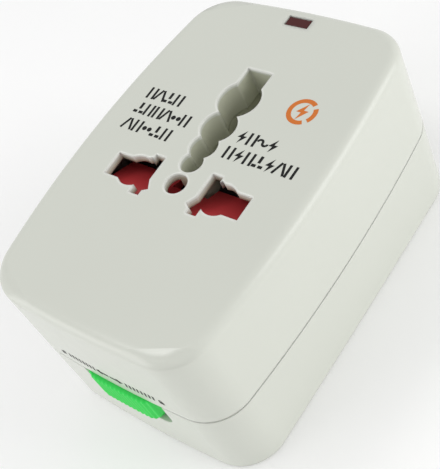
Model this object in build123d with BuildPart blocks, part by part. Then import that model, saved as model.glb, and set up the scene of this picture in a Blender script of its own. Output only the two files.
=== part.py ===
from build123d import *
import os

# Travel adaptor in two halves that unlock: a plug half with three folding pins,
# and a socket half with a universal outlet in its face. Millimetres, +Z up,
# origin in the middle of the base, -Y towards the end with the lock slider.

# Housing; its width and length follow from the fuse and the flat blades that it holds
plug_height = 17.2
socket_height = 19.3
side_room = 1.45
end_room = 1.05
side_crown = 2.15
base_side_crown = 0.22
face_side_crown = 2.95
end_crown = 1.0
face_draft = 0.23
base_draft = 0.8
corner_radius = 8.4
face_dome = 0.5
face_round = 1.6
base_round = 0.6
wall = 1.9
floor_thickness = 1.6
face_thickness = 1.6
parting_gap = 0.35

# Universal outlet, seen from the face
outlet_y = -6.4
uk_slot_in = 7.7
uk_slot_out = 14.7
uk_slot_height = 4.7
round_pin_x = 9.3
round_slot = 6.4
us_pin_x = 6.35
us_slot_width = 2.2
us_slot_height = 8.4
au_pin_x = 6.85
au_slot_width = 2.0
au_slot_length = 7.0
au_slot_tilt = 30
centre_hole = 4.2
centre_hole_y = -6.2
earth_slot_width = 5.35
earth_slot_end = 4.5
earth_lobe_steps = (2.4, 8.9, 13.55, 17.25)
earth_lobe_widths = (8.2, 6.9, 5.35, 4.3)
well_wall = 0.9

# Lamp window
window_width = 5.0
window_length = 2.2
window_inset = 3.45
window_fit = 0.1
window_flange = 1.2
window_sink = 0.1
window_round = 0.3

# Folding plug pins
pin_pitch = 22.2
pin_reach = 17.7
pin_width = 6.35
pin_thickness = 4.0
line_x = 11.1
earth_reach = 22.7
earth_width = 8.0
pin_lift = 0.6
pin_side_gap = 0.3
pin_end_gap = 0.4
pin_tip = 0.9
pivot_radius = 1.0
pivot_fit = 0.05
sleeve_wall = 0.35
sleeve_start = 3.0
sleeve_length = 9.0
sleeve_fit = 0.03
bay_wall = 1.0
scoop_radius = 6.0
scoop_depth = 2.6

# Contact strips
strip = 0.6
leaf_width = 4.4
leaf_gap = 0.3
leaf_foot = 3.0
tab_top = 16.6
tab_fit = 0.25
fork_depth = 3.0
live_grip = 2.5
earth_grip = 2.75
contact_height = 7.0

# Deck of the plug half
deck_top = 11.4
deck_thickness = 1.2
deck_fit = 0.15
deck_cup = 3.4
lock_cut_width = 31.0
lock_cut_room = 0.6

# Rear cover of the socket half
cover_gap = 0.4
cover_floor = 1.0
cover_wall = 1.2
cover_rise = 2.0
cover_cup = 3.9
bridge_height = 1.8
seat_gap = 0.05

# Contact block of the socket half
block_wall = 1.4
guide_height = 5.2
guide_fit = 0.15
pocket_margin = 0.6
shutter_room = 5.1
shelf_thickness = 1.2

# Shutter and its spring
shutter_travel = 9.0
shutter_lap = 1.3
shutter_fit = 0.2
shutter_edge = 1.0
spring_room = 18.1
seat_rib = 1.5
seat_rib_width = 8.0
spring_radius = 2.0
spring_wire = 0.6
spring_turns = 8
spring_end_gap = 0.1
spring_peg = 3.0

# Folding flat blades
blade_reach = 15.9
blade_width = 6.35
blade_thickness = 1.5
blade_room = 0.6
blade_lift = 0.5
blade_fit = 0.35
blade_round = 0.9
hub_radius = 3.0
hub_length = 18.0
hub_gap = 0.35
trunnion_radius = 1.5
trunnion_fit = 0.06
ear_thickness = 1.6
ear_half = 2.6

# Lock slider, its bar and its two hooks
slider_width = 16.1
slider_travel = 1.6
slider_height = 7.0
notch_x = 0.8
slider_proud = 0.9
slider_fit = 0.2
lip_depth = 0.8
lip_reach = 1.2
slider_round = 2.6
slider_ribs = 16
slider_rib = 0.6
rib_depth = 0.25
tongue_width = 10.0
tongue_height = 1.0
tongue_fit = 0.04
bar_inset = 7.2
bar_depth = 1.8
bar_low = 6.4
bar_left = -14.0
bar_right = 12.4
hook_arms = (-13.9, 8.4)
hook_width = 2.0
hook_nose = 1.8
hook_gap = 0.4
nose_height = 1.4
fork_spots = (-11.0, 6.5)
fork_width = 2.0
fork_wall = 1.0
fork_rise = 2.0
hook_fit = 0.1
detent_half = 4.5
detent_strip = 0.4
detent_nose = 1.2
detent_room = 1.6
detent_low = 7.0
detent_height = 2.4

# Screws
screw_radius = 1.25
screw_pilot = 1.0
screw_head = 2.3
screw_head_height = 1.5
screw_fit = 0.15
screw_length = 9.0
deck_screw_length = 6.5
post_radius = 3.0
cup_radius = 3.3
post_inset_x = 7.6
post_inset_y = 9.9

# Fuse
fuse_radius = 2.6
fuse_length = 20.0
fuse_cap = 5.0
fuse_cap_step = 0.15
fuse_gap = 0.3
fuse_saddle = 2.0
clip_width = 4.0

# Surge board and its parts
board_width = 26.8
board_gap = 0.1
board_margin = 1.7
board_thickness = 1.2
board_z = 19.5
varistor_radius = 4.5
varistor_thickness = 3.4
varistor_x = -6.5
lamp_radius = 1.6
lamp_length = 8.0
lamp_inset = 0.8
lamp_drop = 3.9
resistor_radius = 1.2
resistor_length = 6.3
resistor_x = 6.0
lead_radius = 0.3
lead_fit = 0.05
wire_radius = 0.7
wire_bend = 1.4
wire_clear = 0.6
lead_turn = 7.0
lead_run_x = 9.5
lead_end = 2.5

# Levels that follow from the sizes above
top = plug_height + socket_height
face_under = top - face_thickness
shell_bottom = plug_height + parting_gap / 2
plug_top = plug_height - parting_gap / 2
well_bottom = face_under - shutter_room
guide_under = well_bottom - guide_height
deck_under = deck_top - deck_thickness
cover_bottom = deck_top + cover_gap
cover_top = cover_bottom + cover_floor
block_bottom = cover_top + seat_gap
socket_post_z = cover_bottom + cover_cup
plug_post_z = deck_top - deck_cup
pin_pivot_z = pin_lift + pin_thickness / 2
earth_pivot_z = pin_lift + earth_width / 2
pin_ceiling = pin_lift + pin_thickness + pin_end_gap
earth_ceiling = pin_lift + earth_width + pin_side_gap
blade_z = cover_bottom + blade_lift + blade_width / 2
board_top = board_z + board_thickness
fuse_z = floor_thickness + 2 * lead_fit + strip + fuse_radius
lamp_z = face_under - lamp_drop

# Places that follow, from the pins outwards to the housing
earth_y = outlet_y + pin_pitch
live_tab_y = outlet_y - pin_thickness / 2 - leaf_gap - strip / 2
earth_tab_y = earth_y + earth_width / 2 + leaf_gap + strip / 2
blade_length = blade_reach + blade_z - cover_bottom
blade_y = live_tab_y - 1.5 * strip - tab_fit - blade_room - blade_width / 2
bay_half = pin_width / 2 + pin_side_gap
earth_bay_half = pin_thickness / 2 + pin_side_gap
fuse_x = -(line_x + bay_half + bay_wall + fuse_gap + fuse_radius)
half_width = fuse_radius - fuse_x + side_room + wall + face_draft
half_length = blade_length - blade_y + end_room + wall
body_width = 2 * half_width
body_length = 2 * half_length
post_x = half_width - post_inset_x
post_y = half_length - post_inset_y
screw_spots = [(x, y) for x in (-post_x, post_x) for y in (-post_y, post_y)]
bar_back = bar_inset - half_length
bar_y = bar_back - bar_depth / 2
window_y = half_length - window_inset
lamp_y = window_y - lamp_inset


def outline(x_half, y_half, x_crown, y_crown, corner):
    """Rounded rectangle whose four sides are shallow arcs."""
    x = x_half - x_crown
    y = y_half - y_crown
    with BuildSketch() as plan:
        with BuildLine():
            ThreePointArc((x, -y), (x_half, 0), (x, y))
            ThreePointArc((x, y), (0, y_half), (-x, y))
            ThreePointArc((-x, y), (-x_half, 0), (-x, -y))
            ThreePointArc((-x, -y), (0, -y_half), (x, -y))
        make_face()
        fillet(plan.vertices(), corner)
    return plan.sketch


def at_parting(inset):
    """Plan of the housing at the parting line, drawn in by inset."""
    corner = corner_radius - inset
    return outline(half_width - inset, half_length - inset, side_crown, end_crown, corner)


def drafted(inset, draft, x_crown):
    """Plan of the housing at the far end of a half, where the draft has drawn its sides in."""
    corner = corner_radius - inset
    return outline(half_width - draft - inset, half_length - inset, x_crown, end_crown, corner)


def cavity(gap):
    """Plan of the space inside both halves, drawn in by gap."""
    return drafted(wall + gap, face_draft, face_side_crown)


def live_slot(side, grow):
    """Line or neutral opening: the four pin shapes of one side, joined."""
    middle = (uk_slot_in + uk_slot_out) / 2
    tilt = Location((side * au_pin_x, outlet_y, 0), (0, 0, -side * au_slot_tilt))
    with BuildSketch() as opening:
        with Locations((side * middle, outlet_y)):
            Rectangle(uk_slot_out - uk_slot_in + 2 * grow, uk_slot_height + 2 * grow)
        with Locations((side * round_pin_x, outlet_y)):
            Circle(round_slot / 2 + grow)
        with Locations((side * us_pin_x, outlet_y)):
            Rectangle(us_slot_width + 2 * grow, us_slot_height + 2 * grow)
        with Locations(tilt):
            Rectangle(au_slot_width + 2 * grow, au_slot_length + 2 * grow)
    return opening.sketch


def earth_slot(grow):
    """Earth opening: a square end and a row of round lobes that shrink."""
    first_y = earth_y - earth_lobe_steps[0]
    end_y = earth_y + earth_slot_end
    with BuildSketch() as opening:
        with Locations((0, (first_y + end_y) / 2)):
            Rectangle(earth_slot_width + 2 * grow, end_y - first_y + 2 * grow)
        for step, lobe_width in zip(earth_lobe_steps, earth_lobe_widths):
            with Locations((0, earth_y - step)):
                Circle(lobe_width / 2 + grow)
    return opening.sketch


def outlet(grow):
    """Every opening of the outlet."""
    with BuildSketch() as openings:
        add(live_slot(-1, grow))
        add(live_slot(1, grow))
        add(earth_slot(grow))
        with Locations((0, centre_hole_y)):
            Circle(centre_hole / 2 + grow)
    return openings.sketch


def box_plan(x_low, x_high, y_low, y_high):
    """Rectangle between two corners, for a sketch."""
    with BuildSketch() as plan:
        with Locations(((x_low + x_high) / 2, (y_low + y_high) / 2)):
            Rectangle(x_high - x_low, y_high - y_low)
    return plan.sketch


def cup_view(x_low, x_high, z_low, z_high, corner):
    """Front view of a box whose two lower corners are rounded, for the notch and its slider."""
    with BuildSketch() as view:
        add(box_plan(x_low, x_high, z_low, z_high))
        fillet(view.vertices().group_by(Axis.Y)[0], corner)
    return view.sketch


# Socket shell: one moulding with the face, the side walls and the earth well
inside_face = face_under + face_thickness / 2
ramp_low = outlet_y - us_slot_height / 2
shutter_front = ramp_low - shutter_lap
spring_seat_y = shutter_front - spring_room
with BuildPart() as socket_shell:
    with BuildSketch(Plane.XY.offset(shell_bottom)):
        add(at_parting(0))
    with BuildSketch(Plane.XY.offset(top)):
        add(drafted(0, face_draft, face_side_crown))
    loft()
    with BuildSketch(Plane.YZ):
        edge = top - face_dome
        with BuildLine():
            ThreePointArc((-half_length, edge), (0, top), (half_length, edge))
            Polyline((half_length, edge), (half_length, top + wall), (-half_length, top + wall))
            Line((-half_length, top + wall), (-half_length, edge))
        make_face()
    extrude(amount=body_width, both=True, mode=Mode.SUBTRACT)
    fillet(socket_shell.faces().sort_by(Axis.Z)[-1].edges(), face_round)
    with BuildSketch(Plane.XY.offset(shell_bottom - wall)):
        add(cavity(0))
    extrude(amount=face_under - shell_bottom + wall, mode=Mode.SUBTRACT)
    with BuildSketch(Plane.XY.offset(well_bottom)):
        add(earth_slot(well_wall))
    extrude(amount=inside_face - well_bottom)
    with BuildSketch(Plane.XY.offset(well_bottom + shutter_fit)):
        add(box_plan(-seat_rib_width / 2, seat_rib_width / 2, spring_seat_y - seat_rib, spring_seat_y))
    extrude(amount=inside_face - well_bottom - shutter_fit)
    with BuildSketch(Plane.XY.offset(socket_post_z)):
        with Locations(*screw_spots):
            Circle(post_radius)
    extrude(amount=inside_face - socket_post_z)
    with BuildSketch(Plane.XY.offset(socket_post_z)):
        with Locations(*screw_spots):
            Circle(screw_pilot)
    extrude(amount=screw_length, mode=Mode.SUBTRACT)
    with BuildSketch(Plane.XY.offset(well_bottom)):
        add(outlet(0))
        with Locations((0, window_y)):
            Rectangle(window_width + 2 * window_fit, window_length + 2 * window_fit)
    extrude(amount=socket_height, mode=Mode.SUBTRACT)


# Lamp window: a clear block in the face, held by two side flanges
window_top = top - face_dome * (window_y / half_length) ** 2 - window_sink
with BuildPart() as lamp_window:
    with BuildSketch(Plane.XY.offset(face_under)):
        with Locations((0, window_y)):
            Rectangle(window_width, window_length)
    extrude(amount=window_top - face_under)
    fillet(lamp_window.faces().sort_by(Axis.Z)[-1].edges(), window_round)
    with BuildSketch(Plane.XY.offset(face_under)):
        with Locations((0, window_y)):
            Rectangle(window_width + 2 * window_flange, window_length)
    extrude(amount=-window_flange)


# Contact block: guide plate with the outlet's openings over the contact pockets
pocket_in = us_pin_x - us_slot_width / 2 - pocket_margin
pocket_out = uk_slot_out + pocket_margin + strip + leaf_gap
pocket_low = outlet_y - us_slot_height / 2 - pocket_margin / 2
pocket_high = outlet_y + us_slot_height / 2 + pocket_margin / 2
earth_pocket_half = earth_lobe_widths[0] / 2 + pocket_margin
earth_pocket_low = pocket_high + block_wall
earth_pocket_high = earth_tab_y + strip / 2 + tab_fit + strip + leaf_gap
relief_y = blade_y + blade_width / 2 + hub_gap
relief_half = hub_length / 2 + hub_gap + ear_thickness + hub_gap
lead_z = board_top + wire_radius
with BuildPart() as contact_block:
    with BuildSketch(Plane.XY.offset(block_bottom)):
        out = pocket_out + block_wall
        add(box_plan(-out, out, pocket_low - block_wall, pocket_high + block_wall))
        out = earth_pocket_half + block_wall
        add(box_plan(-out, out, pocket_high, earth_pocket_high + block_wall))
    extrude(amount=well_bottom - seat_gap - block_bottom)
    with BuildSketch(Plane.XY.offset(well_bottom - seat_gap - shelf_thickness)):
        shelf_end = shutter_front - shutter_travel
        add(box_plan(-uk_slot_out, uk_slot_out, shelf_end, pocket_low))
    extrude(amount=shelf_thickness)
    with BuildSketch(Plane.XY.offset(block_bottom)):
        add(box_plan(pocket_in, pocket_out, pocket_low, pocket_high))
        add(box_plan(-pocket_out, -pocket_in, pocket_low, pocket_high))
        add(box_plan(-earth_pocket_half, earth_pocket_half, earth_pocket_low, earth_pocket_high))
    extrude(amount=guide_under - block_bottom, mode=Mode.SUBTRACT)
    with BuildSketch(Plane.XY.offset(block_bottom)):
        add(outlet(guide_fit))
    extrude(amount=socket_height, mode=Mode.SUBTRACT)
    with BuildSketch(Plane.XY.offset(block_bottom)):
        add(box_plan(-relief_half, relief_half, pocket_low - 2 * block_wall, relief_y))
    relief_top = blade_z + blade_width / 2 + hub_gap
    extrude(amount=relief_top - block_bottom, mode=Mode.SUBTRACT)
    with BuildSketch(Plane.YZ):
        with Locations((outlet_y, lead_z)):
            Circle(wire_radius + lead_fit)
    extrude(amount=half_width, both=True, mode=Mode.SUBTRACT)


def live_contact(side):
    """U-shaped spring strip round one live opening, with a fork under it for the tab."""
    x_in = pocket_in + leaf_gap
    x_out = pocket_out - leaf_gap
    low = outlet_y - live_grip
    high = outlet_y + live_grip
    bottom = tab_top + tab_fit
    reach = tab_fit + strip / 2
    with BuildPart() as contact:
        with BuildSketch(Plane.XY.offset(bottom)):
            add(box_plan(x_in, x_out, low - strip, high + strip))
            add(box_plan(x_in, x_out - strip, low, high), mode=Mode.SUBTRACT)
        extrude(amount=guide_under - leaf_gap - bottom)
        foot_low = line_x - leaf_width / 2
        foot_high = line_x + leaf_width / 2
        with BuildSketch(Plane.XY.offset(bottom)):
            add(box_plan(foot_low, foot_high, live_tab_y - reach - strip, live_tab_y + reach + strip))
        extrude(amount=strip)
        with BuildSketch(Plane.XY.offset(bottom - fork_depth)):
            add(box_plan(foot_low, foot_high, live_tab_y + reach, live_tab_y + reach + strip))
            add(box_plan(foot_low, foot_high, live_tab_y - reach - strip, live_tab_y - reach))
        extrude(amount=fork_depth + strip)
        if side < 0:
            mirror(about=Plane.YZ, mode=Mode.REPLACE)
    return contact.part


line_contact = live_contact(-1)
neutral_contact = live_contact(1)


# Earth contact: a long U-shaped strip whose web stands behind the earth tab
with BuildPart() as earth_contact:
    legs_end = earth_pocket_low + leaf_gap
    web = earth_pocket_high - leaf_gap
    with BuildSketch(Plane.XY.offset(block_bottom + leaf_gap)):
        add(box_plan(-earth_grip - strip, earth_grip + strip, legs_end, web))
        add(box_plan(-earth_grip, earth_grip, legs_end, web - strip), mode=Mode.SUBTRACT)
    extrude(amount=contact_height)


# Rear cover: a tray that closes the socket half and reaches into the plug half
blade_slit = blade_thickness / 2 + blade_fit
blade_high = blade_z + blade_width / 2 + blade_fit
with BuildPart() as rear_cover:
    with BuildSketch(Plane.XY.offset(cover_bottom)):
        add(cavity(cover_gap))
    extrude(amount=plug_height + cover_rise - cover_bottom)
    with BuildSketch(Plane.XY.offset(cover_top)):
        bridge_half = us_pin_x + 2 * blade_thickness
        add(cavity(cover_gap))
        add(box_plan(-bridge_half, bridge_half, -half_length, blade_y), mode=Mode.INTERSECT)
    extrude(amount=blade_high + bridge_height - cover_top)
    with BuildSketch(Plane.XY.offset(cover_top)):
        add(cavity(cover_gap + cover_wall))
    extrude(amount=socket_height, mode=Mode.SUBTRACT)
    with BuildSketch(Plane.XY.offset(cover_bottom)):
        with Locations(*screw_spots):
            Circle(cup_radius)
        add(cavity(cover_gap), mode=Mode.INTERSECT)
    extrude(amount=cover_cup - seat_gap)
    with BuildSketch(Plane.XY.offset(socket_post_z - seat_gap)):
        with Locations(*screw_spots):
            Circle(post_radius + cover_gap)
    extrude(amount=socket_height, mode=Mode.SUBTRACT)
    with BuildSketch(Plane.XY.offset(cover_bottom)):
        with Locations(*screw_spots):
            Circle(screw_head + screw_fit)
    extrude(amount=screw_head_height + screw_fit, mode=Mode.SUBTRACT)
    with BuildSketch(Plane.XY.offset(cover_bottom)):
        with Locations(*screw_spots):
            Circle(screw_radius + screw_fit)
    extrude(amount=cover_cup, mode=Mode.SUBTRACT)
    ear = hub_length / 2 + hub_gap
    with BuildSketch(Plane.XY.offset(cover_bottom)):
        for side in (-1, 1):
            with Locations((side * (ear + ear_thickness / 2), blade_y)):
                Rectangle(ear_thickness, 2 * ear_half)
    extrude(amount=blade_z + ear_half - cover_bottom)
    with BuildSketch(Plane.YZ.offset(-ear - ear_thickness)):
        with Locations((blade_y, blade_z)):
            Circle(trunnion_radius + trunnion_fit)
    extrude(amount=2 * (ear + ear_thickness), mode=Mode.SUBTRACT)
    with BuildSketch(Plane.XY.offset(cover_bottom)):
        add(box_plan(-ear, ear, blade_y - hub_radius - hub_gap, blade_y + hub_radius + hub_gap))
        for side in (-1, 1):
            with Locations((side * us_pin_x, (blade_y - half_length) / 2)):
                Rectangle(2 * blade_slit, half_length + blade_y)
            with Locations((side * us_pin_x, blade_y)):
                Rectangle(2 * blade_slit, blade_width + 2 * hub_gap)
            with Locations((side * line_x, live_tab_y)):
                Rectangle(leaf_width + 2 * tab_fit, strip + 2 * tab_fit)
        for arm in hook_arms:
            end = arm + hook_width + max(hook_nose, slider_travel) + hook_gap
            add(box_plan(arm - hook_gap, end, bar_y - bar_depth / 2 - hook_gap, bar_back + hook_gap))
        with Locations((0, earth_tab_y)):
            Rectangle(leaf_width + 2 * tab_fit, strip + 2 * tab_fit)
    extrude(amount=blade_high - cover_bottom, mode=Mode.SUBTRACT)


def screws(seat, facing, length):
    """Four pan-head screws seated at a level, shanks pointing up or down (facing 1 or -1)."""
    cross = 4 * screw_fit
    with BuildPart() as group:
        with BuildSketch(Plane.XY.offset(seat)):
            with Locations(*screw_spots):
                Circle(screw_head)
        extrude(amount=-facing * screw_head_height)
        with BuildSketch(Plane.XY.offset(seat)):
            with Locations(*screw_spots):
                Circle(screw_pilot)
        extrude(amount=facing * length)
        with BuildSketch(Plane.XY.offset(seat - facing * screw_head_height)):
            with Locations(*screw_spots):
                Rectangle(2 * screw_head - cross, cross)
                Rectangle(cross, 2 * screw_head - cross)
        extrude(amount=facing * screw_head_height / 2, mode=Mode.SUBTRACT)
    return group.part


# Cover screws: heads down, driven up into the posts of the socket shell
cover_screws = screws(cover_bottom + screw_fit + screw_head_height, 1, screw_length)


# Surge board with its varistor, resistor and the lamp under the window
board_low = earth_pocket_high + block_wall + board_gap
board_high = half_length - wall - board_margin
board_y = (board_low + board_high) / 2
with BuildPart() as surge_board:
    with BuildSketch(Plane.XY.offset(board_z)) as board_plan:
        with Locations((0, board_y)):
            Rectangle(board_width, board_high - board_low)
        fillet(board_plan.vertices(), lead_radius * 2)
    extrude(amount=board_thickness)

with BuildPart() as varistor:
    with BuildSketch(Plane.XZ.offset(-board_y + varistor_thickness / 2)):
        with Locations((varistor_x, board_top + varistor_radius + lead_radius)):
            Circle(varistor_radius)
    extrude(amount=-varistor_thickness)
    fillet(varistor.edges(), varistor_thickness / 4)
    with BuildSketch(Plane.XY.offset(board_top)):
        for side in (-1, 1):
            with Locations((varistor_x + side * varistor_radius / 2, board_y)):
                Circle(lead_radius)
    extrude(amount=varistor_radius)

with BuildPart() as resistor:
    resistor_z = board_top + resistor_radius + lead_radius
    lead_reach = resistor_length / 2 + 2 * lead_radius
    with BuildSketch(Plane.YZ.offset(resistor_x - resistor_length / 2)):
        with Locations((board_y, resistor_z)):
            Circle(resistor_radius)
    extrude(amount=resistor_length)
    fillet(resistor.edges(), resistor_radius / 3)
    with BuildSketch(Plane.YZ.offset(resistor_x - lead_reach)):
        with Locations((board_y, resistor_z)):
            Rectangle(2 * lead_radius, 2 * lead_radius)
    extrude(amount=2 * lead_reach)
    with BuildSketch(Plane.XY.offset(board_top)):
        for side in (-1, 1):
            with Locations((resistor_x + side * (lead_reach - lead_radius), board_y)):
                Rectangle(2 * lead_radius, 2 * lead_radius)
    extrude(amount=resistor_radius + lead_radius)

with BuildPart() as lamp:
    with BuildSketch(Plane.YZ.offset(-lamp_length / 2)):
        with Locations((lamp_y, lamp_z)):
            Circle(lamp_radius)
    extrude(amount=lamp_length)
    fillet(lamp.edges(), lamp_radius / 2)
    with BuildSketch(Plane.XY.offset(board_top)):
        for side in (-1, 1):
            with Locations((side * lamp_length / 4, lamp_y)):
                Circle(lead_radius)
    extrude(amount=lamp_z - board_top)


# Leads: an insulated wire from each live contact to the board
lead_x = pocket_out + block_wall + wire_radius + wire_clear
with BuildPart() as board_leads:
    for side in (-1, 1):
        with BuildLine() as route:
            FilletPolyline(
                (side * (pocket_out - leaf_gap), outlet_y, lead_z),
                (side * lead_x, outlet_y, lead_z),
                (side * lead_x, outlet_y + lead_turn, lead_z),
                (side * lead_run_x, outlet_y + 2 * lead_turn, lead_z),
                (side * lead_run_x, board_low + lead_end, lead_z),
                radius=wire_bend,
            )
        with BuildSketch(Plane(origin=route.line @ 0, z_dir=route.line % 0)):
            Circle(wire_radius)
        sweep(path=route.line)


# Shutter: a sliding wedge that shuts the live openings until both pins push it
shutter_base = well_bottom + shutter_fit
shutter_top = face_under - shutter_fit
shutter_half = uk_slot_out + shutter_lap
shutter_back = outlet_y + us_slot_height / 2 + shutter_fit
notch_front = earth_y - earth_lobe_steps[-1] - earth_lobe_widths[-1] / 2 - well_wall - shutter_fit
notch_half = earth_slot_width / 2 + well_wall + 2 * shutter_fit
spring_z = (shutter_base + shutter_top) / 2
with BuildPart() as shutter:
    with BuildSketch(Plane.YZ.offset(-shutter_half)):
        with BuildLine():
            Polyline(
                (shutter_front, shutter_base),
                (shutter_back, shutter_base),
                (shutter_back, shutter_base + shutter_edge),
                (ramp_low, shutter_top),
                (shutter_front, shutter_top),
                close=True,
            )
        make_face()
    extrude(amount=2 * shutter_half)
    with BuildSketch(Plane.XY.offset(shutter_base)):
        add(box_plan(-notch_half, notch_half, notch_front, shutter_back + shutter_lap))
    extrude(amount=shutter_room, mode=Mode.SUBTRACT)
    with BuildSketch(Plane.XZ.offset(-shutter_front)):
        with Locations((0, spring_z)):
            Circle(spring_radius - spring_wire)
    extrude(amount=spring_peg)


# Shutter spring: a coil between the shutter and the rib of the shell
coil_start = spring_seat_y + spring_end_gap + spring_wire
coil_length = shutter_front - spring_end_gap - spring_wire - coil_start
with BuildPart() as shutter_spring:
    with BuildLine() as coil:
        Helix(
            pitch=coil_length / spring_turns,
            height=coil_length,
            radius=spring_radius,
            center=(0, coil_start, spring_z),
            direction=(0, 1, 0),
        )
    with BuildSketch(Plane(origin=coil.line @ 0, z_dir=coil.line % 0)):
        RegularPolygon(spring_wire / 2, 6)
    sweep(is_frenet=True)


# Blade hub: the moulded axle that carries both flat blades
with BuildPart() as blade_hub:
    with BuildSketch(Plane.YZ.offset(-hub_length / 2)):
        with Locations((blade_y, blade_z)):
            Circle(hub_radius)
    extrude(amount=hub_length)
    trunnion_reach = hub_length / 2 + hub_gap + ear_thickness
    with BuildSketch(Plane.YZ.offset(-trunnion_reach)):
        with Locations((blade_y, blade_z)):
            Circle(trunnion_radius)
    extrude(amount=2 * trunnion_reach)
    for side in (-1, 1):
        with BuildSketch(Plane.YZ.offset(side * us_pin_x - blade_thickness / 2)):
            with Locations((blade_y, blade_z)):
                Circle(hub_radius + blade_fit)
                Circle(trunnion_radius, mode=Mode.SUBTRACT)
        extrude(amount=blade_thickness, mode=Mode.SUBTRACT)


def blade_plan():
    """Side view of a flat blade: round root, straight shank, rounded tip corners."""
    low = blade_z - blade_width / 2
    with BuildSketch() as view:
        tip_y = blade_y - blade_length
        add(box_plan(tip_y, blade_y, low, low + blade_width))
        fillet(view.vertices().group_by(Axis.X)[0], blade_round)
        with Locations((blade_y, blade_z)):
            Circle(blade_width / 2)
            Circle(trunnion_radius + lead_fit, mode=Mode.SUBTRACT)
    return view.sketch


# Flat blades: two brass strips, folded back into the slits of the rear cover
with BuildPart() as flat_blades:
    for side in (-1, 1):
        with BuildSketch(Plane.YZ.offset(side * us_pin_x - blade_thickness / 2)):
            add(blade_plan())
        extrude(amount=blade_thickness)


def pivot_shafts(radius):
    """Three cross shafts that end flush with the outer faces of the bay walls."""
    with BuildPart() as shafts:
        for side in (-1, 0, 1):
            shaft_y = outlet_y if side else earth_y
            shaft_z = pin_pivot_z if side else earth_pivot_z
            shaft_half = (bay_half if side else earth_bay_half) + bay_wall
            with BuildSketch(Plane.YZ.offset(side * line_x - shaft_half)):
                with Locations((shaft_y, shaft_z)):
                    Circle(radius)
            extrude(amount=2 * shaft_half)
    return shafts.part


# Plug shell: base and side walls in one moulding, with the bays for the folded pins
pin_length = pin_reach + pin_pivot_z
earth_length = earth_reach + earth_pivot_z
bay_low = live_tab_y - strip / 2
bay_high = outlet_y + pin_length + pin_end_gap
earth_bay_low = earth_y - earth_length - pin_end_gap
earth_bay_high = earth_tab_y + strip / 2
slot_half = (slider_width + slider_travel) / 2 + slider_fit
slot_bottom = plug_top - slider_height
scoop_reach = (scoop_radius**2 - (scoop_radius - scoop_depth) ** 2) ** 0.5
with BuildPart() as plug_shell:
    with BuildSketch():
        add(drafted(0, base_draft, base_side_crown))
    with BuildSketch(Plane.XY.offset(plug_top)):
        add(at_parting(0))
    loft()
    fillet(plug_shell.faces().sort_by(Axis.Z)[0].edges(), base_round)
    with BuildSketch(Plane.XY.offset(floor_thickness)):
        add(cavity(0))
    extrude(amount=plug_height, mode=Mode.SUBTRACT)
    with BuildSketch(Plane.XY.offset(floor_thickness / 2)):
        for side in (-1, 1):
            x_low = side * line_x - bay_half - bay_wall
            x_high = side * line_x + bay_half + bay_wall
            add(box_plan(x_low, x_high, bay_low - bay_wall, bay_high + scoop_reach + bay_wall))
    extrude(amount=pin_ceiling + bay_wall - floor_thickness / 2)
    with BuildSketch(Plane.XY.offset(floor_thickness / 2)):
        out = earth_bay_half + bay_wall
        add(box_plan(-out, out, earth_bay_low - scoop_reach - bay_wall, earth_bay_high + bay_wall))
    extrude(amount=earth_ceiling + bay_wall - floor_thickness / 2)
    with BuildSketch(Plane.XY.offset(floor_thickness / 2)):
        with Locations(*[(x, bar_y) for x in fork_spots]):
            Rectangle(fork_width, bar_depth + 2 * fork_wall)
    extrude(amount=bar_low + fork_rise - floor_thickness / 2)
    with BuildSketch(Plane.XY.offset(bar_low - seat_gap)):
        with Locations(*[(x, bar_y) for x in fork_spots]):
            Rectangle(2 * fork_width, bar_depth + 2 * hook_fit)
    extrude(amount=plug_height, mode=Mode.SUBTRACT)
    detent_y = bar_back + detent_room
    with BuildSketch(Plane.XY.offset(floor_thickness / 2)):
        add(box_plan(-detent_half, detent_half, detent_y, detent_y + fork_wall))
    extrude(amount=detent_low + detent_height - floor_thickness / 2)
    with BuildSketch(Plane.XY.offset(floor_thickness / 2)):
        with Locations(*screw_spots):
            Circle(post_radius)
    extrude(amount=plug_post_z - floor_thickness / 2)
    with BuildSketch(Plane.XY.offset(-floor_thickness)):
        for side in (-1, 1):
            with Locations((side * line_x, (bay_low + bay_high) / 2)):
                Rectangle(2 * bay_half, bay_high - bay_low)
    extrude(amount=floor_thickness + pin_ceiling, mode=Mode.SUBTRACT)
    with BuildSketch(Plane.XY.offset(-floor_thickness)):
        add(box_plan(-earth_bay_half, earth_bay_half, earth_bay_low, earth_bay_high))
    extrude(amount=floor_thickness + earth_ceiling, mode=Mode.SUBTRACT)
    with BuildSketch(Plane.XY.offset(floor_thickness)):
        for side in (-1, 1):
            with Locations((side * line_x, live_tab_y)):
                Rectangle(leaf_width, strip)
        with Locations((0, earth_tab_y)):
            Rectangle(leaf_width, strip)
        with Locations(*screw_spots):
            Circle(screw_pilot)
    extrude(amount=plug_height, mode=Mode.SUBTRACT)
    for side in (-1, 0, 1):
        scoop_y = bay_high if side else earth_bay_low
        scoop_half = bay_half if side else earth_bay_half
        with BuildSketch(Plane.YZ.offset(side * line_x - scoop_half)):
            with Locations((scoop_y, scoop_depth - scoop_radius)):
                Circle(scoop_radius)
        extrude(amount=2 * scoop_half, mode=Mode.SUBTRACT)
    add(pivot_shafts(pivot_radius), mode=Mode.SUBTRACT)
    with BuildSketch(Plane.XZ.offset(half_length - 2 * wall)):
        notch_top = plug_height + wall
        add(cup_view(notch_x - slot_half, notch_x + slot_half, slot_bottom, notch_top, slider_round + slider_fit))
    extrude(amount=3 * wall, mode=Mode.SUBTRACT)


# Pin pivots: three steel shafts across the bays
pin_pivots = pivot_shafts(pivot_radius - seat_gap / 2)


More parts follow.
